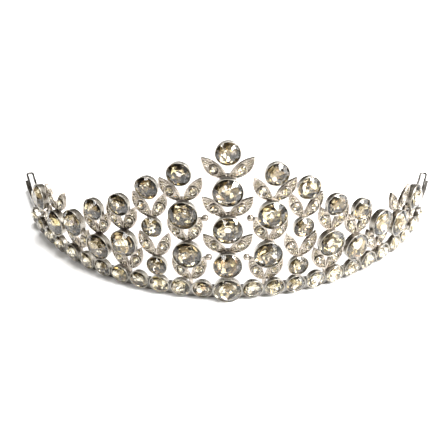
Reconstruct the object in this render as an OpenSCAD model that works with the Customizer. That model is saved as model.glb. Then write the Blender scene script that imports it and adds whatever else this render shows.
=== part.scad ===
// Bridal tiara: fifteen fanned columns of round stones in cups, with leaf pairs between
// them, standing on a curved row of smaller stones that is soldered to a flat band.

/* [Arc and row] */
// Radius of the arc along the girdles of the row's stones
arc_r = 76.5; // [75:0.5:80]
// Distance between neighbouring stones of the row, along the arc
row_pitch = 6.8; // [6.8:0.1:7.2]
// Distance from the centre stone of the row to its neighbours, along the arc
centre_pitch = 7.7; // [7.7:0.1:8]
// Height of the row's stone centres above the table
row_z = 4.3; // [4.1:0.1:4.4]
// Height of the centre stone of the row above the table
centre_row_z = 4.5; // [4.5:0.05:4.7]

/* [Cups] */
// Outer radius of a row cup
row_cup_r = 3.2; // [3.1:0.05:3.3]
// Outer radius of the two middle cups of the centre column's foot
centre_cup_r = 4.4; // [4.2:0.05:4.4]
// Outer radius of a small cup
small_cup_r = 3.35; // [3.2:0.05:3.4]
// Outer radius of a medium cup
medium_cup_r = 3.65; // [3.5:0.05:3.75]
// Outer radius of a large cup
large_cup_r = 4.5; // [4.4:0.05:4.6]
// Depth of a cup, as a share of its radius
cup_depth_share = 0.52; // [0.5:0.01:0.56]
// Thickness of a cup's wall and floor
cup_wall = 0.35; // [0.3:0.05:0.4]
// Radius at a cup's back, as a share of its rim
cup_back_share = 0.93; // [0.9:0.01:0.95]

/* [Stones] */
// Height of a stone's crown above the rim, as a share of the stone's radius
crown_share = 0.34; // [0.25:0.01:0.4]
// Radius of a stone's flat table, as a share of the stone's radius
table_share = 0.56; // [0.5:0.01:0.62]
// Radius of an accent stone
accent_r = 1.45; // [1.3:0.05:1.5]
// Radius of a pave stone
pave_r = 0.4; // [0.35:0.05:0.4]

/* [Columns] */
// Lean of the columns towards the wearer's head, in degrees
lean = 4; // [2:1:6]
// Sideways tilt of the first side columns, in degrees
first_tilt = 4.5; // [4:0.5:5]
// Extra tilt of each further column, in degrees
tilt_step = 0.5; // [0.3:0.1:0.8]
// Distance between stones within a side column
stack_step = 13.4; // [13.2:0.1:13.6]
// Distance between stones within the centre column
centre_step = 12.3; // [12.2:0.1:12.5]
// How far a column's top stone sits below that even spacing
top_drop = 0.5; // [0.3:0.1:0.7]

/* [Leaves] */
// Distance by which a leaf pair's foot reaches down past the rim of the cup that it stands on
foot_sink = 0.5; // [0.4:0.1:0.6]
// Height of a leaf pair's foot above the row's centre line, where it stands between two row cups
raised_foot = 2.6; // [2.5:0.1:2.8]
// Distance from that foot up to the centre of the first stone
raised_drop = 9.7; // [9.6:0.1:9.9]
// Length of a leaf from foot to tip
leaf_len = 9.6; // [9.4:0.1:9.7]
// Thickness of a leaf, front to back
leaf_t = 0.9; // [0.85:0.05:1]
// Bulge of a leaf's outer edge
leaf_bulge = 2.5; // [2.4:0.1:2.6]
// Bulge of a leaf's inner edge
leaf_inner_bulge = 1.4; // [1.3:0.1:1.5]
// Width of a leaf's rim
leaf_rim = 0.4; // [0.35:0.05:0.45]
// Depth of a leaf's tray
tray_depth = 0.35; // [0.3:0.05:0.4]

/* [Band and end loops] */
// Height of the band
band_h = 4.4; // [4:0.1:4.6]
// Thickness of the band
band_t = 1; // [0.8:0.1:1.2]
// Length of each plain tail of the band, past the last stone's centre
band_tail = 25; // [22:0.5:27]
// Radius of the tails, which curve less than the band's middle
tail_r = 148; // [140:2:160]
// Length of an end loop past the band
loop_len = 9.5; // [8.5:0.5:11]
// Wire diameter of the end loops
loop_wire_d = 0.9; // [0.8:0.1:1]
// Distance between the two legs of an end loop
loop_gap = 2.2; // [2:0.1:2.4]

/* [Hidden] */
COLUMNS = [for (k = [-7 : 7]) k];
GROUPS = ["cups", "leaves", "stones"];

silver = [0.78, 0.78, 0.8];
dark_silver = [0.6, 0.6, 0.63];
crystal = [0.86, 0.87, 0.84];

round_fn = 64;
small_fn = 24;
joint_gap = 0.05;
row_side_count = 12;
loop_overlap = 5;

row_depth = row_cup_r * cup_depth_share;
back_r = arc_r - row_depth;
band_outer_r = back_r - joint_gap;
// Where each tail starts; it turns outwards a little there, so that the two arcs cross instead of touching
tail_start_angle = arc_angle(row_s(row_side_count));
tail_turn = 1.5;
tail_lap = 5;
cut_size = 4 * arc_r;

loop_bend_r = loop_gap / 2;
loop_leg = loop_overlap + loop_len - loop_gap - loop_wire_d;
loop_mid_r = tail_r - band_t - 1.5 * joint_gap - loop_wire_d / 2 - loop_bend_r;
loop_angle = tail_angle(band_tail - loop_overlap / 2);
loop_shift = loop_len / 2;

// Distance of an end loop's back from the arc's centre, so that the box is centred front to back
loop_turn = tail_start_angle - tail_turn + loop_angle;
tail_centre_y = band_outer_r * -cos(tail_start_angle) + tail_r * cos(tail_start_angle - tail_turn);
centre_front = back_r + cup_depth(centre_cup_r) + crown_h(centre_cup_r);
loop_back = tail_centre_y + (loop_shift + loop_leg / 2) * sin(loop_turn) - loop_mid_r * cos(loop_turn)
  + loop_bend_r + loop_wire_d / 2;
arc_y = (centre_front - loop_back) / 2;

// Number of stones in each column, by its distance from the centre
stone_counts = [4, 3, 3, 2, 2, 1, 1, 1];
// Angle of the leaves from a column's axis, by the column's distance from the centre:
// for its top pair, and for the pairs below
top_leaf_angles = [50, 40, 31, 29, 29, 31, 34, 31];
lower_leaf_angles = [50, 30, 29, 31, 31, 31, 31, 31];
// Distance from the centre of the columns that end in an open leaf pair
crest_column = 6;
// Extra angle from a leaf's chord out to its accent stone, and its distance from the foot
accent_turn = 8;
accent_dist = 4.6;
// Depth of an accent stone's seat and rise of its table, from the leaf's face
accent_seat = 0.7;
accent_rise = 0.35;
// Width and length of the foot under a leaf pair that stands between two row cups
foot_w = 1.2;
foot_len = 1.6;
// Radius of a stone's culet, as a share of the stone's radius
culet_share = 0.3;
// Row of pave stones on a leaf: count, first place along the leaf, spacing and sideways shift
pave_count = 3;
pave_start = 6.5;
pave_step = 0.8;
pave_shift = -0.35;
// Link beads: distance sideways from the centre column's axis, and height along it
link_places = [[6.48, 24.6], [5.64, 11.2]];
bead_r = 1.1;

function column_name(k) = k == 0 ? "centre" : str(k < 0 ? "left_" : "right_", abs(k));
function column_node(k, g) = str(column_name(k), "_", g);

function arc_angle(s) = s / arc_r * 180 / PI;
function tail_angle(s) = s / tail_r * 180 / PI;
function row_s(i) = i == 0 ? 0 : sign(i) * (centre_pitch + (abs(i) - 1) * row_pitch);
function column_s(k) = k == 0 ? 0 : sign(k) * (centre_pitch + (1.5 * abs(k) - 1) * row_pitch);
function column_tilt(k) = k == 0 ? 0 : sign(k) * (first_tilt + (abs(k) - 1) * tilt_step);

function cup_depth(r) = r * cup_depth_share;
function stone_r(r) = r - cup_wall - joint_gap;
function crown_h(r) = stone_r(r) * crown_share;

function stands_on_row(k) = abs(k) % 2 == 0;
function step_up(k) = k == 0 ? centre_step : stack_step;

// Whether stone j, counted from the row, is the upper end of a column of more than one stone
function tops_column(k, j) = j > 0 && j == stone_counts[abs(k)] - 1;

// Cup radius of stone j in column k
function cup_r_of(k, j) =
  k == 0 && j == 0 ? centre_cup_r
  : tops_column(k, j) ? medium_cup_r
  : abs(k) == 2 ? small_cup_r
  : large_cup_r;

// Height of the first stone of column k along the column's axis
function first_up(k) =
  k == 0 ? centre_row_z - row_z + 2 * centre_cup_r + joint_gap
  : stands_on_row(k) ? row_cup_r + cup_r_of(k, 0) + joint_gap
  : raised_foot + raised_drop;
function stone_up(k, j) = first_up(k) + j * step_up(k) - (tops_column(k, j) ? top_drop : 0);

// A leaf pair stands under every stone but a first stone that stands on the row,
// and the crest columns carry one more pair with no stone in it
function top_leaf_level(k) = stone_counts[abs(k)] - (abs(k) == crest_column ? 0 : 1);
function leaf_levels(k) = [for (j = [stands_on_row(k) ? 1 : 0 : 1 : top_leaf_level(k)]) j];

// Height of the foot of leaf pair j in column k along the column's axis
function foot_up(k, j) = j == 0 ? raised_foot : stone_up(k, j - 1) + cup_r_of(k, j - 1) - foot_sink;

function leaf_angle(k, j) = j == top_leaf_level(k) ? top_leaf_angles[abs(k)] : lower_leaf_angles[abs(k)];

// Places children at arc length s, on the surface that all cup backs share
module on_arc(s, z = row_z) {
  translate([0, arc_y, 0]) rotate([0, 0, arc_angle(s)]) translate([0, -back_r, z]) children();
}

// Places children at height up on the leaning, tilted axis of column k
module on_column(k, up = 0) {
  on_arc(column_s(k)) rotate([-lean, column_tilt(k), 0]) translate([0, 0, up]) children();
}

// Turns children that rise along Z to face forwards
module facing_front() {
  rotate([90, 0, 0]) children();
}

// A round cup, open at the front, with a slightly narrower back
module cup(r) {
  depth = cup_depth(r);
  inner_back_r = r * cup_back_share - cup_wall;
  flare = (r - cup_wall - inner_back_r) / (depth - cup_wall);
  difference() {
    cylinder(h = depth, r1 = r * cup_back_share, r2 = r, $fn = round_fn);
    translate([0, 0, cup_wall])
      cylinder(h = depth, r1 = inner_back_r, r2 = inner_back_r + flare * depth, $fn = round_fn);
  }
}

// A stone set in a cup of radius r: culet near the cup's floor, girdle at the rim
module cup_stone(r) {
  girdle_z = cup_depth(r);
  culet_z = cup_wall + joint_gap;
  rotate_extrude($fn = round_fn)
    polygon([
      [0, culet_z], [stone_r(r) * culet_share, culet_z], [stone_r(r), girdle_z],
      [stone_r(r) * table_share, girdle_z + crown_h(r)], [0, girdle_z + crown_h(r)]
    ]);
}

// Almond between two arcs from the origin along +X; the outer edge bulges towards -Y
module almond(inset) {
  half = leaf_len / 2;
  outer_r = (half * half + leaf_bulge * leaf_bulge) / (2 * leaf_bulge);
  inner_r = (half * half + leaf_inner_bulge * leaf_inner_bulge) / (2 * leaf_inner_bulge);
  intersection() {
    translate([half, outer_r - leaf_bulge]) circle(r = outer_r - inset, $fn = round_fn);
    translate([half, leaf_inner_bulge - inner_r]) circle(r = inner_r - inset, $fn = round_fn);
  }
}

// Right leaf's outline with its foot at the origin, inset from its own edge
module leaf_outline(k, j, inset) {
  rotate(90 - leaf_angle(k, j)) almond(inset);
}

// Centre of the right leaf's accent stone
function accent_x(k, j) = accent_dist * sin(leaf_angle(k, j) + accent_turn);
function accent_y(k, j) = accent_dist * cos(leaf_angle(k, j) + accent_turn);

// Places children on both leaves of a pair: as they are, and mirrored
module both_sides() {
  children();
  mirror([1, 0, 0]) children();
}

// Places children on the front face of a leaf pair: foot at the origin, Z out of the face
module on_leaf_pair(k, j) {
  on_column(k, foot_up(k, j)) facing_front() translate([0, 0, leaf_t]) children();
}

// Room that a cup of radius r takes, with a gap around it
module cup_room(r, gap) {
  cylinder(h = cup_depth(r), r1 = r * cup_back_share + gap, r2 = r + gap, $fn = round_fn);
}

// Rooms of the cups above and below a leaf pair; the foot is at the origin, the cups' backs at z = 0
module cups_around(k, j, gap) {
  if (j < stone_counts[abs(k)])
    translate([0, stone_up(k, j) - foot_up(k, j), 0]) cup_room(cup_r_of(k, j), gap);
  if (j > 0)
    translate([0, stone_up(k, j - 1) - foot_up(k, j), 0]) cup_room(cup_r_of(k, j - 1), gap);
}

// Leaf pair under stone j of column k: two trays that meet at a foot, seated on the cups
module leaf_pair(k, j) {
  on_leaf_pair(k, j) difference() {
    translate([0, 0, -leaf_t]) linear_extrude(leaf_t) {
      both_sides() leaf_outline(k, j, 0);
      translate([-foot_w / 2, -foot_len]) square([foot_w, foot_len + foot_w]);
    }
    translate([0, 0, -leaf_t]) cups_around(k, j, joint_gap);
    both_sides() {
      difference() {
        translate([0, 0, -tray_depth]) linear_extrude(leaf_t) leaf_outline(k, j, leaf_rim);
        translate([0, 0, -leaf_t]) cups_around(k, j, joint_gap + leaf_rim);
      }
      translate([accent_x(k, j), accent_y(k, j), -accent_seat])
        cylinder(h = leaf_t, r = accent_r + joint_gap, $fn = small_fn);
    }
  }
}

module column_cups(k) {
  color(silver) for (j = [0 : stone_counts[abs(k)] - 1])
    on_column(k, stone_up(k, j)) facing_front() cup(cup_r_of(k, j));
}

module column_stones(k) {
  color(crystal) for (j = [0 : stone_counts[abs(k)] - 1])
    on_column(k, stone_up(k, j)) facing_front() cup_stone(cup_r_of(k, j));
}

// Room that a row cup takes, with the joint's gap around it
module row_cup_room(i) {
  on_arc(row_s(i)) facing_front()
    translate([0, 0, -band_t]) cylinder(h = row_depth + 2 * band_t, r = row_cup_r + joint_gap, $fn = round_fn);
}

module column_leaves(k) {
  color(silver) for (j = leaf_levels(k)) {
    if (j > 0) leaf_pair(k, j);
    else difference() {
      leaf_pair(k, j);
      for (side = [0, 1]) row_cup_room(sign(k) * (floor(1.5 * abs(k)) + side));
    }
  }
}

// Accent stones: a shallow cone in the seat and a low crown
module accent_stones() {
  color(crystal) for (k = COLUMNS, j = leaf_levels(k)) on_leaf_pair(k, j) both_sides()
    translate([accent_x(k, j), accent_y(k, j), 0]) rotate_extrude($fn = small_fn)
      polygon([
        [0, joint_gap - accent_seat], [accent_r * culet_share, joint_gap - accent_seat], [accent_r, -tray_depth / 2],
        [accent_r * table_share, accent_rise], [0, accent_rise]
      ]);
}

// Pave stones: low domes in a row from the accent stone to the leaf's tip
module pave_stones() {
  color(crystal) for (k = COLUMNS, j = leaf_levels(k)) on_leaf_pair(k, j) both_sides()
    rotate(90 - leaf_angle(k, j)) for (n = [0 : pave_count - 1])
      translate([pave_start + n * pave_step, pave_shift, joint_gap - tray_depth])
        cylinder(h = tray_depth, r1 = pave_r, r2 = pave_r * table_share, $fn = small_fn);
}

// Right tail's frame: its arc's centre at the origin, the place where it starts towards -Y
module on_tail() {
  rotate([0, 0, tail_start_angle]) translate([0, -band_outer_r, 0]) rotate([0, 0, -tail_turn])
    translate([0, tail_r, 0]) children();
}

// Area inside the band's outer face, less the inset, from above
module band_area(inset) {
  circle(r = band_outer_r - inset, $fn = round_fn);
  both_sides() on_tail() intersection() {
    circle(r = tail_r - inset, $fn = round_fn);
    translate([-tail_lap, -cut_size]) square(cut_size);
  }
}

// Everything past the right tail's end, from above
module past_tail() {
  on_tail() rotate(tail_angle(band_tail)) translate([0, -cut_size]) square(2 * cut_size);
}

module base_band() {
  color(dark_silver) translate([0, arc_y, 0]) linear_extrude(band_h) difference() {
    band_area(0);
    band_area(band_t);
    both_sides() past_tail();
  }
}

// Long closed ring of round wire, lying level along X
module wire_ring() {
  for (side = [-1, 1]) {
    translate([-loop_leg / 2, side * loop_bend_r, 0]) rotate([0, 90, 0])
      cylinder(h = loop_leg, d = loop_wire_d, $fn = small_fn);
    translate([side * loop_leg / 2, 0, 0]) rotate([0, 0, -side * 90])
      rotate_extrude(angle = 180, $fn = round_fn) translate([loop_bend_r, 0]) circle(d = loop_wire_d, $fn = small_fn);
  }
}

// End loop, soldered by one side to the band's inner face
module end_loop(side) {
  color(dark_silver) mirror([side < 0 ? 1 : 0, 0, 0]) translate([0, arc_y, band_h / 2]) on_tail()
    rotate([0, 0, loop_angle]) translate([loop_shift, -loop_mid_r, 0]) wire_ring();
}

module row_cups() {
  color(silver) for (i = [1 : row_side_count], side = [-1, 1]) on_arc(row_s(side * i)) facing_front() cup(row_cup_r);
}

module row_stones() {
  color(crystal) for (i = [1 : row_side_count], side = [-1, 1])
    on_arc(row_s(side * i)) facing_front() cup_stone(row_cup_r);
}

module centre_row_cup() {
  color(silver) on_arc(0, centre_row_z) facing_front() cup(centre_cup_r);
}

module centre_row_stone() {
  color(crystal) on_arc(0, centre_row_z) facing_front() cup_stone(centre_cup_r);
}

// Small beads that link the centre column to its neighbours
module link_beads() {
  color(silver) both_sides() for (place = link_places)
    on_column(0, place[1]) translate([place[0], -leaf_t / 2, 0]) sphere(r = bead_r, $fn = round_fn);
}

module column_group(k, g) {
  if (g == "cups") column_cups(k);
  if (g == "leaves") column_leaves(k);
  if (g == "stones") column_stones(k);
}

base_band();
end_loop(-1);  // end_loop_left
end_loop(1);  // end_loop_right
row_cups();
row_stones();
centre_row_cup();
centre_row_stone();
link_beads();
accent_stones();
pave_stones();
for (k = COLUMNS, g = GROUPS) column_group(k, g);
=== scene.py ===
import math
import random

import bpy
from mathutils import Matrix, Vector


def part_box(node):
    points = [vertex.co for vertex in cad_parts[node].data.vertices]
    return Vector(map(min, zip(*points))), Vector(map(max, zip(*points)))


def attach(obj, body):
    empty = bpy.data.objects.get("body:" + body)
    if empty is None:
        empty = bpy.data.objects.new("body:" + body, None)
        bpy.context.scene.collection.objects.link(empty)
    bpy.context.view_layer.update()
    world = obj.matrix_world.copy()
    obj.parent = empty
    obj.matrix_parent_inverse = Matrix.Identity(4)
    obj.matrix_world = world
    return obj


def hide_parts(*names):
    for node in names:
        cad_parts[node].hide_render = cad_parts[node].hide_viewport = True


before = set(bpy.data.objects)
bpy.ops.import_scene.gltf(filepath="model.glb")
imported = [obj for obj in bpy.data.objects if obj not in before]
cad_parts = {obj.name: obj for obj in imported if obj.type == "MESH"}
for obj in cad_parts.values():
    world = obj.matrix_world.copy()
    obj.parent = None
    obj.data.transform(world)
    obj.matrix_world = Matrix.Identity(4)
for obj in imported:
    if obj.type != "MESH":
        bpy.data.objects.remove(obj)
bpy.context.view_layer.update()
MM = 0.001
rng = random.Random(7)

# ---------------------------------------------------------------- sizes, in millimetres, as in part.scad
ARC_R, ROW_PITCH, CENTRE_PITCH, ROW_Z, CENTRE_ROW_Z = 76.5, 6.8, 7.7, 4.3, 4.5
ROW_R, CENTRE_R, SMALL_R, MEDIUM_R, LARGE_R = 3.2, 4.4, 3.35, 3.65, 4.5
CUP_DEPTH, CUP_WALL, CUP_BACK, CROWN, TABLE = 0.52, 0.35, 0.93, 0.34, 0.56
LEAN, FIRST_TILT, TILT_STEP, STACK, CENTRE_STACK, TOP_DROP = 4, 4.5, 0.5, 13.4, 12.3, 0.5
FOOT_SINK, RAISED_FOOT, RAISED_DROP = 0.5, 2.6, 9.7
LEAF_LEN, LEAF_T, BULGE, INNER_BULGE, TRAY = 9.6, 0.9, 2.5, 1.4, 0.35
ACCENT_R, ACCENT_DIST, ACCENT_TURN, JOINT = 1.45, 4.6, 8, 0.05
STONES = [4, 3, 3, 2, 2, 1, 1, 1]
TOP_ANGLES = [50, 40, 31, 29, 29, 31, 34, 31]
LOWER_ANGLES = [50, 30, 29, 31, 31, 31, 31, 31]
ROW_SIDE, CREST, RIM = 12, 6, 0.27

BACK_R = ARC_R - ROW_R * CUP_DEPTH
ARC_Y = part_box("base_band")[0].y / MM + BACK_R - JOINT


def turn(axis, degrees):
    return Matrix.Rotation(math.radians(degrees), 4, axis)


def move(x=0.0, y=0.0, z=0.0):
    return Matrix.Translation((x, y, z))


FRONT = turn("X", 90)


def sign(k):
    return (k > 0) - (k < 0)


def on_arc(s, z=ROW_Z):
    return move(0, ARC_Y) @ turn("Z", math.degrees(s / ARC_R)) @ move(0, -BACK_R, z)


def row_s(i):
    return sign(i) * (CENTRE_PITCH + (abs(i) - 1) * ROW_PITCH) if i else 0


def on_column(k, up):
    s = sign(k) * (CENTRE_PITCH + (1.5 * abs(k) - 1) * ROW_PITCH)
    tilt = sign(k) * (FIRST_TILT + (abs(k) - 1) * TILT_STEP)
    return on_arc(s) @ turn("Y", tilt) @ turn("X", -LEAN) @ move(0, 0, up)


def cup_r(k, j):
    k = abs(k)
    if k == 0 and j == 0:
        return CENTRE_R
    if 0 < j == STONES[k] - 1:
        return MEDIUM_R
    return SMALL_R if k == 2 else LARGE_R


def stone_up(k, j):
    if k == 0:
        first = CENTRE_ROW_Z - ROW_Z + 2 * CENTRE_R + JOINT
    elif abs(k) % 2 == 0:
        first = ROW_R + cup_r(k, 0) + JOINT
    else:
        first = RAISED_FOOT + RAISED_DROP
    top = 0 < j == STONES[abs(k)] - 1
    return first + j * (STACK if k else CENTRE_STACK) - (TOP_DROP if top else 0)


def leaf_levels(k):
    top = STONES[abs(k)] - (0 if abs(k) == CREST else 1)
    return range(1 if abs(k) % 2 == 0 else 0, top + 1)


def foot_up(k, j):
    return stone_up(k, j - 1) + cup_r(k, j - 1) - FOOT_SINK if j else RAISED_FOOT


def leaf_angle(k, j):
    return (TOP_ANGLES if j == leaf_levels(k)[-1] else LOWER_ANGLES)[abs(k)]


# ---------------------------------------------------------------- materials
class Nodes:
    """A material and short ways to add nodes to it. An input is a value or another node's output."""

    def __init__(self, name):
        self.mat = bpy.data.materials.new(name)
        self.mat.use_nodes = True
        self.tree = self.mat.node_tree
        self.shader = self.tree.nodes["Principled BSDF"]

    def add(self, kind, inputs=(), **props):
        n = self.tree.nodes.new(kind)
        for key, value in props.items():
            setattr(n, key, value)
        for key, value in dict(inputs).items():
            self.put(n.inputs[key], value)
        return n

    def put(self, socket, value):
        if isinstance(value, bpy.types.NodeSocket):
            self.tree.links.new(value, socket)
        else:
            socket.default_value = value

    def set(self, **inputs):
        for key, value in inputs.items():
            self.put(self.shader.inputs[key.replace("_", " ")], value)

    def where(self):
        return self.add("ShaderNodeTexCoord").outputs["Object"]

    def noise(self, scale, detail=4.0, stretch=(1, 1, 1)):
        at = self.add("ShaderNodeMapping", {"Vector": self.where(), "Scale": stretch}).outputs[0]
        settings = {"Vector": at, "Scale": scale, "Detail": detail}
        return self.add("ShaderNodeTexNoise", settings).outputs["Fac"]

    def ramp(self, fac, stops):
        n = self.add("ShaderNodeValToRGB", {"Fac": fac})
        while len(n.color_ramp.elements) < len(stops):
            n.color_ramp.elements.new(0.5)
        for e, (pos, colour) in zip(n.color_ramp.elements, stops):
            e.position = pos
            e.color = (*colour, 1)
        return n.outputs["Color"]

    def span(self, fac, low, high):
        ends = {"Value": fac, "To Min": low, "To Max": high}
        return self.add("ShaderNodeMapRange", ends).outputs["Result"]

    def maths(self, operation, a, b, output=0):
        return self.add("ShaderNodeVectorMath", {0: a, 1: b}, operation=operation).outputs[output]

    def inward(self):
        """1 on faces turned to the inside of the tiara's arc, 0 on faces turned outwards."""
        geo = self.add("ShaderNodeNewGeometry").outputs
        from_axis = self.maths("SUBTRACT", geo["Position"], (0, ARC_Y * MM, 0))
        level = self.maths("MULTIPLY", from_axis, (1, 1, 0))
        outwards = self.maths("DOT_PRODUCT", level, geo["Normal"], "Value")
        ends = {"Value": outwards, "From Min": 0.0, "From Max": -0.03}
        return self.add("ShaderNodeMapRange", ends).outputs["Result"]

    def bump(self, height, strength, distance):
        n = self.add("ShaderNodeBump", {"Height": height, "Strength": strength, "Distance": distance})
        return n.outputs["Normal"]


def metal(name, light, dark, rough, scratch=(1, 1, 1)):
    """Clouded plate with polishing marks and uneven gloss; painted shade darkens it in recesses and on the faces
    turned to the wearer's side.
    """
    m = Nodes(name)
    cloud = m.noise(350, 5)
    marks = m.noise(2500, 3, scratch)
    plate = m.ramp(cloud, [(0.35, dark), (0.6, light)])
    # painted shade: ambient occlusion darkens the plate colour in recesses and between parts
    recess = m.add("ShaderNodeAmbientOcclusion", {"Distance": 0.0006}).outputs["AO"]
    painted_recess_shade = m.ramp(recess, [(0.2, (0.34, 0.30, 0.26)), (0.8, (1, 1, 1))])
    # painted shade: faces turned to the inside of the arc have their colour darkened to about half
    painted_back_shade = m.ramp(m.inward(), [(0.0, (1, 1, 1)), (1.0, (0.52, 0.51, 0.50))])
    m.set(Base_Color=m.maths("MULTIPLY", m.maths("MULTIPLY", plate, painted_recess_shade), painted_back_shade), Metallic=1.0)
    m.set(Roughness=m.span(marks, rough * 0.6, rough * 1.5), Normal=m.bump(marks, 0.12, 0.00004))
    return m.mat


def crown_glass():
    """Clear glass of slightly uneven warmth."""
    m = Nodes("crystal_crown")
    tint = m.noise(260, 2)
    m.set(Base_Color=m.ramp(tint, [(0.35, (0.93, 0.905, 0.81)), (0.65, (0.985, 0.97, 0.91))]))
    m.set(Roughness=m.span(m.noise(1500, 2), 0.0, 0.03), IOR=1.58, Transmission_Weight=1.0)
    return m.mat


def foil():
    """Foil behind a stone, whose facets each take a tint of their own: painted reflections, white, grey, dark or
    coloured fire.
    """
    m = Nodes("crystal_foil")
    shades = [(0.3, (0.46, 0.42, 0.34)), (0.5, (0.66, 0.62, 0.54)), (0.7, (0.82, 0.79, 0.73))]
    plate = m.ramp(m.noise(420, 3), shades)
    # the per-facet tint is a painted reflection: it darkens, whitens or colours each facet whatever the lamps
    # show
    tint = m.add("ShaderNodeVertexColor", layer_name="tint").outputs["Color"]
    m.set(Base_Color=m.maths("MULTIPLY", plate, tint))
    m.set(Metallic=1.0, Roughness=m.span(m.noise(1800, 2), 0.02, 0.09))
    return m.mat


CUP = metal("cup_plate", (0.43, 0.405, 0.36), (0.28, 0.258, 0.225), 0.28)
LEAF = metal("leaf_plate", (0.42, 0.376, 0.326), (0.21, 0.182, 0.150), 0.26)
# The band and end loops take a darker plate than the cups and leaves: painted shade, for parts that lie in shadow
BAND = metal("band_plate", (0.33, 0.32, 0.30), (0.21, 0.20, 0.19), 0.24, (1, 1, 8))
WIRE = metal("wire_plate", (0.28, 0.27, 0.26), (0.17, 0.16, 0.15), 0.26)
CRYSTAL = crown_glass()
FOIL = foil()


# ---------------------------------------------------------------- meshes
# A facet takes one tint, drawn at random from a list: painted reflections, white, grey or dark as if the facet
# mirrored a lamp or the dim room, and a few coloured ones as painted fire.
WHITE_REFLECTION, GREY_REFLECTION, DARK_REFLECTION = (1, 1, 0.98), (0.43, 0.385, 0.29), (0.22, 0.18, 0.12)
PAINTED_FIRE = [(1, 0.93, 0.62)] * 2 + [(1, 0.80, 0.62), (0.86, 0.84, 1)]
PAINTED_REFLECTIONS = [WHITE_REFLECTION] * 5 + [GREY_REFLECTION] * 9 + [DARK_REFLECTION] * 9 + PAINTED_FIRE
# more white facets: brighter painted reflections, for the row, accent and pavé stones
PALE_PAINTED_REFLECTIONS = [WHITE_REFLECTION] * 18 + [GREY_REFLECTION] * 5 + [DARK_REFLECTION] * 2 + PAINTED_FIRE


class Build:
    """Collects shapes, given in millimetres, into one piece."""

    def __init__(self, palette=PAINTED_REFLECTIONS):
        self.palette = palette
        self.verts, self.faces, self.mats, self.smooth, self.facet_reflections = [], [], [], [], []

    def add(self, matrix, verts, faces, mat=0, smooth=False):
        base = len(self.verts)
        flip = matrix.to_3x3().determinant() < 0
        self.verts += [matrix @ Vector(v) for v in verts]
        for i, f in enumerate(faces):
            f = [base + a for a in f]
            self.faces.append(f[::-1] if flip else f)
            self.mats.append(mat[i] if isinstance(mat, list) else mat)
            self.smooth.append(smooth)
            # every corner of a face gets the same painted reflection colour, drawn from the palette
            self.facet_reflections += [*rng.choice(self.palette), 1] * len(f)

    def piece(self, name, materials, slot, *replaced):
        mesh = bpy.data.meshes.new(name)
        mesh.from_pydata([v * MM for v in self.verts], [], self.faces)
        for m in materials:
            mesh.materials.append(m)
        mesh.polygons.foreach_set("material_index", self.mats)
        mesh.polygons.foreach_set("use_smooth", self.smooth)
        # the painted reflection colours, read by the foil as its tint attribute
        mesh.color_attributes.new("tint", "FLOAT_COLOR", "CORNER").data.foreach_set("color", self.facet_reflections)
        mesh.update()
        o = bpy.data.objects.new(name, mesh)
        bpy.context.scene.collection.objects.link(o)
        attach(o, "root")
        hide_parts(*replaced)


def ring(r, z, n, start=0.0):
    angles = [math.radians(start + 360 * i / n) for i in range(n)]
    return [(r * math.cos(a), r * math.sin(a), z) for a in angles]


def brilliant(r, crown, depth, girdle=0.14):
    """A round stone, the top of its girdle at z = 0: a cut crown over a stepped, uneven, foiled back."""
    v = ring(r * TABLE, crown, 8) + ring(r * 0.79, crown * 0.52, 8, 22.5)
    v += ring(r, 0, 16) + ring(r, -girdle, 16)
    for share, drop, start in ((0.74, 0.36, 22.5), (0.47, 0.68, 0), (0.22, 0.93, 22.5)):
        for x, y, _ in ring(r * share, 0, 8, start):
            out = rng.uniform(0.84, 1.16)
            v.append((x * out, y * out, -depth * drop * rng.uniform(0.70, 1.07)))
    t, s, g, h = 0, 8, 16, 32
    crown_faces, back_faces = [[t + i for i in range(8)]], []
    for i in range(8):
        n, p, a = (i + 1) % 8, (i - 1) % 8, 2 * i
        b, d = a + 1, (a + 2) % 16
        crown_faces += [[t + i, s + i, t + n], [t + i, s + p, g + a], [t + i, g + a, s + i]]
        crown_faces += [[s + i, g + a, g + b], [s + i, g + b, g + d]]
        outer, mid, inner = 48 + i, 56 + i, 64 + i
        back_faces += [[h + a, outer, h + b], [h + b, outer, h + d], [h + a, 48 + p, outer]]
        back_faces += [[48 + p, mid, outer], [mid, 56 + n, outer]]
        back_faces += [[mid, inner, 56 + n], [64 + p, inner, mid]]
    back_faces.append([64 + i for i in range(7, -1, -1)])
    for a in range(16):
        back_faces.append([g + a, h + a, h + (a + 1) % 16, g + (a + 1) % 16])
    return v, crown_faces + back_faces, [0] * len(crown_faces) + [1] * len(back_faces)


def add_stone(b, place, r, depth):
    """A stone of girdle radius r, whose girdle lies in the place's own XY plane."""
    loose = turn("Z", rng.uniform(0, 45)) @ turn("X", rng.uniform(-3, 3)) @ turn("Y", rng.uniform(-3, 3))
    v, f, mats = brilliant(r, r * CROWN, depth)
    b.add(place @ loose, v, f, mats)


def add_lathe(b, place, profile, n=64):
    """A surface of revolution from (radius, height) points; a radius of 0 closes it."""
    verts, faces, rows = [], [], []
    for r, z in profile:
        start = len(verts)
        verts += [(0, 0, z)] if r == 0 else ring(r, z, n)
        rows.append((start, r == 0))
    for (a, a_tip), (c, c_tip) in zip(rows, rows[1:]):
        for i in range(n):
            j = (i + 1) % n
            lower = [a] if a_tip else [a + i, a + j]
            upper = [c] if c_tip else [c + j, c + i]
            faces.append(lower + upper)
    b.add(place, verts, faces, smooth=True)


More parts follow.
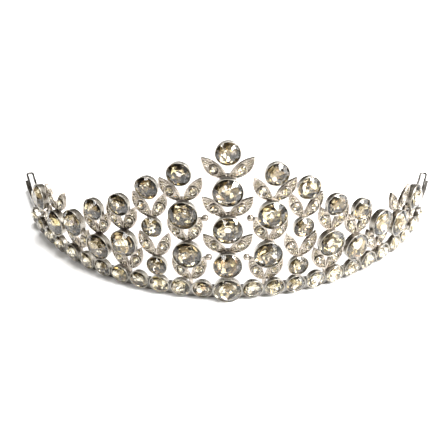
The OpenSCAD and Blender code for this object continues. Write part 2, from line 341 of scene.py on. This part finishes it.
def add_cup(b, place, r):
    """A stamped cup: flat floor, flaring wall with a rounded foot, and a rim burnished over the stone."""
    d, back = r * CUP_DEPTH, r * CUP_BACK

    def wall(z):
        return back + (r - back) * z / d

    dimple = [(0, 0.14), (back * 0.4, 0.14), (back * 0.44, 0.12), (back * 0.5, 0.02), (back * 0.54, 0)]
    foot = [(back - 0.25, 0), (back - 0.08, 0.05), (wall(0.18), 0.2)]
    side = [(wall(d * 0.6), d * 0.6), (wall(d - 0.3), d - 0.3), (r, d - 0.12), (r + 0.02, d)]
    rim = [(r - 0.03, d + 0.08), (r - 0.11, d + 0.11), (r - 0.2, d + 0.07), (r - 0.25, d - 0.02)]
    inside = [(r - 0.27, d - 0.2), (wall(0.4) - CUP_WALL - 0.1, CUP_WALL + 0.02), (0, CUP_WALL)]
    add_lathe(b, place, dimple + foot + side + rim + inside)


def column_name(k):
    return "centre" if k == 0 else ("left_%d" if k < 0 else "right_%d") % abs(k)


def setting(name_cups, name_stones, places, palette=PAINTED_REFLECTIONS):
    """Cups and stones; each place is a matrix at the cup's back and the cup's radius."""
    cups, stones = Build(), Build(palette)
    for place, r in places:
        d = r * CUP_DEPTH
        add_cup(cups, place, r)
        add_stone(stones, place @ move(0, 0, d), r - RIM, d - CUP_WALL - 0.12)
    cups.piece(name_cups + "_polished", [CUP], "cup_metal", name_cups)
    stones.piece(name_stones + "_faceted", [CRYSTAL, FOIL], "crystal", name_stones)


COLUMNS = range(-7, 8)
for k in COLUMNS:
    setting(column_name(k) + "_cups", column_name(k) + "_stones",
            [(on_column(k, stone_up(k, j)) @ FRONT, cup_r(k, j)) for j in range(STONES[abs(k)])])
row_numbers = [side * i for i in range(1, ROW_SIDE + 1) for side in (-1, 1)]
setting("row_cups", "row_stones", [(on_arc(row_s(i)) @ FRONT, ROW_R) for i in row_numbers], PALE_PAINTED_REFLECTIONS)
setting("centre_row_cup", "centre_row_stone", [(on_arc(0, CENTRE_ROW_Z) @ FRONT, CENTRE_R)], PALE_PAINTED_REFLECTIONS)


# ---------------------------------------------------------------- leaves
def edge_circle(side):
    """Centre height and radius of the arc that makes one edge of a leaf, with the foot at the origin."""
    half, bulge = LEAF_LEN / 2, BULGE if side < 0 else INNER_BULGE
    r = (half * half + bulge * bulge) / (2 * bulge)
    return side * (bulge - r), r


def inside_leaf(x, y, inset):
    """Whether a point lies inside the leaf's outline, inset from its edge."""
    for side in (-1, 1):
        cy, r = edge_circle(side)
        if math.hypot(x - LEAF_LEN / 2, y - cy) > r - inset:
            return False
    return True


def edge_line(inset, steps=36):
    """The closed line of the leaf's outline, inset from its edge."""
    (lo_c, lo_r), (up_c, up_r) = edge_circle(-1), edge_circle(1)
    lo_r, up_r = lo_r - inset, up_r - inset
    gap = lo_c - up_c
    y = (up_r * up_r - lo_r * lo_r + lo_c * lo_c - up_c * up_c) / (2 * gap)
    x = math.sqrt(lo_r * lo_r - (y - lo_c) ** 2)
    points = []
    for c, r, way in ((lo_c, lo_r, 1), (up_c, up_r, -1)):
        a0, a1 = math.atan2(y - c, -x * way), math.atan2(y - c, x * way)
        if way > 0:
            a0 -= 2 * math.pi if a0 > 0 else 0
        angles = [a0 + (a1 - a0) * i / steps for i in range(steps)]
        points += [(LEAF_LEN / 2 + r * math.cos(a), c + r * math.sin(a)) for a in angles]
    return points


def add_tube(b, place, line, r, closed, n=8):
    """A round wire along a line of points in the place's own frame."""
    count = len(line)
    verts, faces = [], []
    for i, p in enumerate(line):
        before = line[(i - 1) % count] if closed or i else p
        after = line[(i + 1) % count] if closed or i < count - 1 else p
        along = (Vector(after) - Vector(before)).normalized()
        side = along.cross(Vector((0, 0, 1))).normalized()
        for a in range(n):
            t = 2 * math.pi * a / n
            verts.append(Vector(p) + side * (r * math.cos(t)) + Vector((0, 0, r * math.sin(t))))
    for i in range(count if closed else count - 1):
        for a in range(n):
            c = (a + 1) % n
            after = (i + 1) % count
            faces.append([i * n + a, i * n + c, after * n + c, after * n + a])
    if not closed:
        faces += [list(range(n)), list(range((count - 1) * n, count * n))[::-1]]
    b.add(place, verts, faces, smooth=True)


def dome(r, h, n=8):
    """A small cut stone, flat below."""
    v = ring(r, 0, n) + ring(r * 0.62, h * 0.8, n, 180 / n) + [(0, 0, h)]
    f = []
    for i in range(n):
        j = (i + 1) % n
        f += [[i, j, n + i], [j, n + j, n + i], [n + i, n + j, 2 * n]]
    return v, f


RIM_INSET, RIM_WIRE_R, SEAT_WIRE_R = 0.2, 0.19, 0.17
ACCENT_X = ACCENT_DIST * math.cos(math.radians(-ACCENT_TURN))
ACCENT_Y = ACCENT_DIST * math.sin(math.radians(-ACCENT_TURN))
PAVE_PITCH, PAVE_R, PAVE_RISE, PAVE_START = 0.62, 0.28, 0.3, 0.6
rims, pave, accents = Build(), Build(PALE_PAINTED_REFLECTIONS), Build(PALE_PAINTED_REFLECTIONS)


def off_cups(k, j, x, y, gap):
    """Whether a point of leaf pair j is clear of the cups above and below it and, on the row, of its own foot."""
    p = turn("Z", 90 - leaf_angle(k, j)) @ Vector((x, y, 0))
    cups = [i for i in (j - 1, j) if 0 <= i < STONES[abs(k)]]
    clear = all(math.hypot(p.x, p.y - (stone_up(k, i) - foot_up(k, j))) > cup_r(k, i) + gap for i in cups)
    return clear and (j > 0 or p.y > 0.4)


def add_rim(place, k, j):
    """The raised rim along a leaf's edge, left out where a cup cuts into the leaf."""
    runs = [[]]
    for x, y in edge_line(RIM_INSET):
        if off_cups(k, j, x, y, 0.12):
            runs[-1].append((x, y, -0.02))
        else:
            runs.append([])
    for run in runs:
        if len(run) > 2:
            add_tube(rims, place, run, RIM_WIRE_R, False)


def add_accent(place):
    """The accent stone and the ring of its seat."""
    add_stone(accents, place @ move(ACCENT_X, ACCENT_Y, 0.12), ACCENT_R - 0.12, 0.75)
    add_tube(rims, place @ move(ACCENT_X, ACCENT_Y, 0.08), ring(ACCENT_R - 0.02, 0, 28), SEAT_WIRE_R, True)


def add_pave(place, k, j):
    """Small stones, close together and a little uneven, wherever they fit in a leaf's tray."""
    v, f = dome(PAVE_R, PAVE_RISE)
    for row in range(-5, 6):
        for col in range(15):
            x = PAVE_START + (col + 0.5 * (row % 2)) * PAVE_PITCH + rng.uniform(-0.04, 0.04)
            y = row * PAVE_PITCH * 0.866 + rng.uniform(-0.04, 0.04)
            off_accent = math.hypot(x - ACCENT_X, y - ACCENT_Y) > ACCENT_R + 0.36
            if inside_leaf(x, y, 0.56) and off_cups(k, j, x, y, 0.45) and off_accent:
                spin = turn("Z", rng.uniform(0, 45)) @ turn("X", rng.uniform(-9, 9))
                spin = spin @ turn("Y", rng.uniform(-9, 9))
                pave.add(place @ move(x, y, -TRAY + 0.06) @ spin, v, f)


for k in COLUMNS:
    for j in leaf_levels(k):
        face = on_column(k, foot_up(k, j)) @ FRONT @ move(0, 0, LEAF_T)
        for side in (1, -1):
            leaf = face @ Matrix.Diagonal((side, 1, 1, 1)) @ turn("Z", 90 - leaf_angle(k, j))
            add_rim(leaf, k, j)
            add_accent(leaf)
            add_pave(leaf, k, j)
rims.piece("leaf_rims", [LEAF], "leaf_metal")
pave.piece("pave_field", [FOIL], "small_crystal", "pave_stones")
accents.piece("accent_stones_faceted", [CRYSTAL, FOIL], "small_crystal", "accent_stones")

for name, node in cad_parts.items():
    for part, mat in (("_leaves", LEAF), ("link_beads", LEAF), ("base_band", BAND), ("end_loop", WIRE)):
        if part in name:
            node.data.materials.clear()
            node.data.materials.append(mat)

# ---------------------------------------------------------------- floor, light and camera
floor_mesh = bpy.data.meshes.new("floor")
floor_mesh.from_pydata([(-20, -20, 0), (20, -20, 0), (20, 20, 0), (-20, 20, 0)], [], [(0, 1, 2, 3)])
floor = bpy.data.objects.new("floor", floor_mesh)
bpy.context.scene.collection.objects.link(floor)
paper = Nodes("floor_paper")
fibres = paper.ramp(paper.noise(40, 3), [(0.4, (0.90, 0.90, 0.90)), (0.6, (0.92, 0.92, 0.92))])
paper.set(Base_Color=fibres, Roughness=0.9)
floor_mesh.materials.append(paper.mat)

# The room is dark on the left and bright, as by a window, on the right
world = bpy.data.worlds.new("studio")
world.use_nodes = True
sky = world.node_tree
side = sky.nodes.new("ShaderNodeSeparateXYZ")
sky.links.new(sky.nodes.new("ShaderNodeTexCoord").outputs["Generated"], side.inputs[0])
room = sky.nodes.new("ShaderNodeValToRGB")
dark_end, bright_end = room.color_ramp.elements
dark_end.position, dark_end.color = 0.45, (0.07, 0.060, 0.046, 1)
bright_end.position, bright_end.color = 0.95, (1.0, 0.97, 0.92, 1)
sweep = sky.nodes.new("ShaderNodeMapRange")
sweep.inputs["From Min"].default_value = -1
sky.links.new(side.outputs["X"], sweep.inputs["Value"])
sky.links.new(sweep.outputs["Result"], room.inputs["Fac"])
sky.links.new(room.outputs["Color"], sky.nodes["Background"].inputs["Color"])
sky.nodes["Background"].inputs["Strength"].default_value = 1.5
bpy.context.scene.world = world


def soft_light(name, at, target, size, power):
    data = bpy.data.lights.new(name, "AREA")
    data.shape, data.size, data.energy = "DISK", size, power
    o = bpy.data.objects.new(name, data)
    o.location = at
    o.rotation_euler = (Vector(target) - Vector(at)).to_track_quat("-Z", "Y").to_euler()
    o.visible_camera = False
    bpy.context.scene.collection.objects.link(o)


soft_light("top", (0.05, 0.22, 1.10), (0, 0, 0), 0.60, 17)
soft_light("window", (0.33, -0.22, 0.40), (0.15, -0.07, 0), 0.25, 6.0)
soft_light("fill", (-0.42, -0.50, 0.75), (0, 0, 0), 0.28, 2.0)
soft_light("panel", (0.36, -0.06, 0.20), (0, 0, 0.02), 0.32, 1.2)

aim = Vector((-1.08, ARC_Y - 49.3, 9.9)) * MM
tip = math.radians(34.8)
away = 230 * MM
eye = aim + Vector((0, -math.cos(tip), math.sin(tip))) * away
cam = bpy.data.cameras.new("camera")
cam.sensor_width, cam.lens, cam.clip_start, cam.clip_end = 36, 55.8, 0.01, 20
camera = bpy.data.objects.new("camera", cam)
camera.location = eye
camera.rotation_euler = (aim - eye).to_track_quat("-Z", "Y").to_euler()
bpy.context.scene.collection.objects.link(camera)
bpy.context.scene.camera = camera
bpy.context.scene.view_settings.view_transform = "Standard"
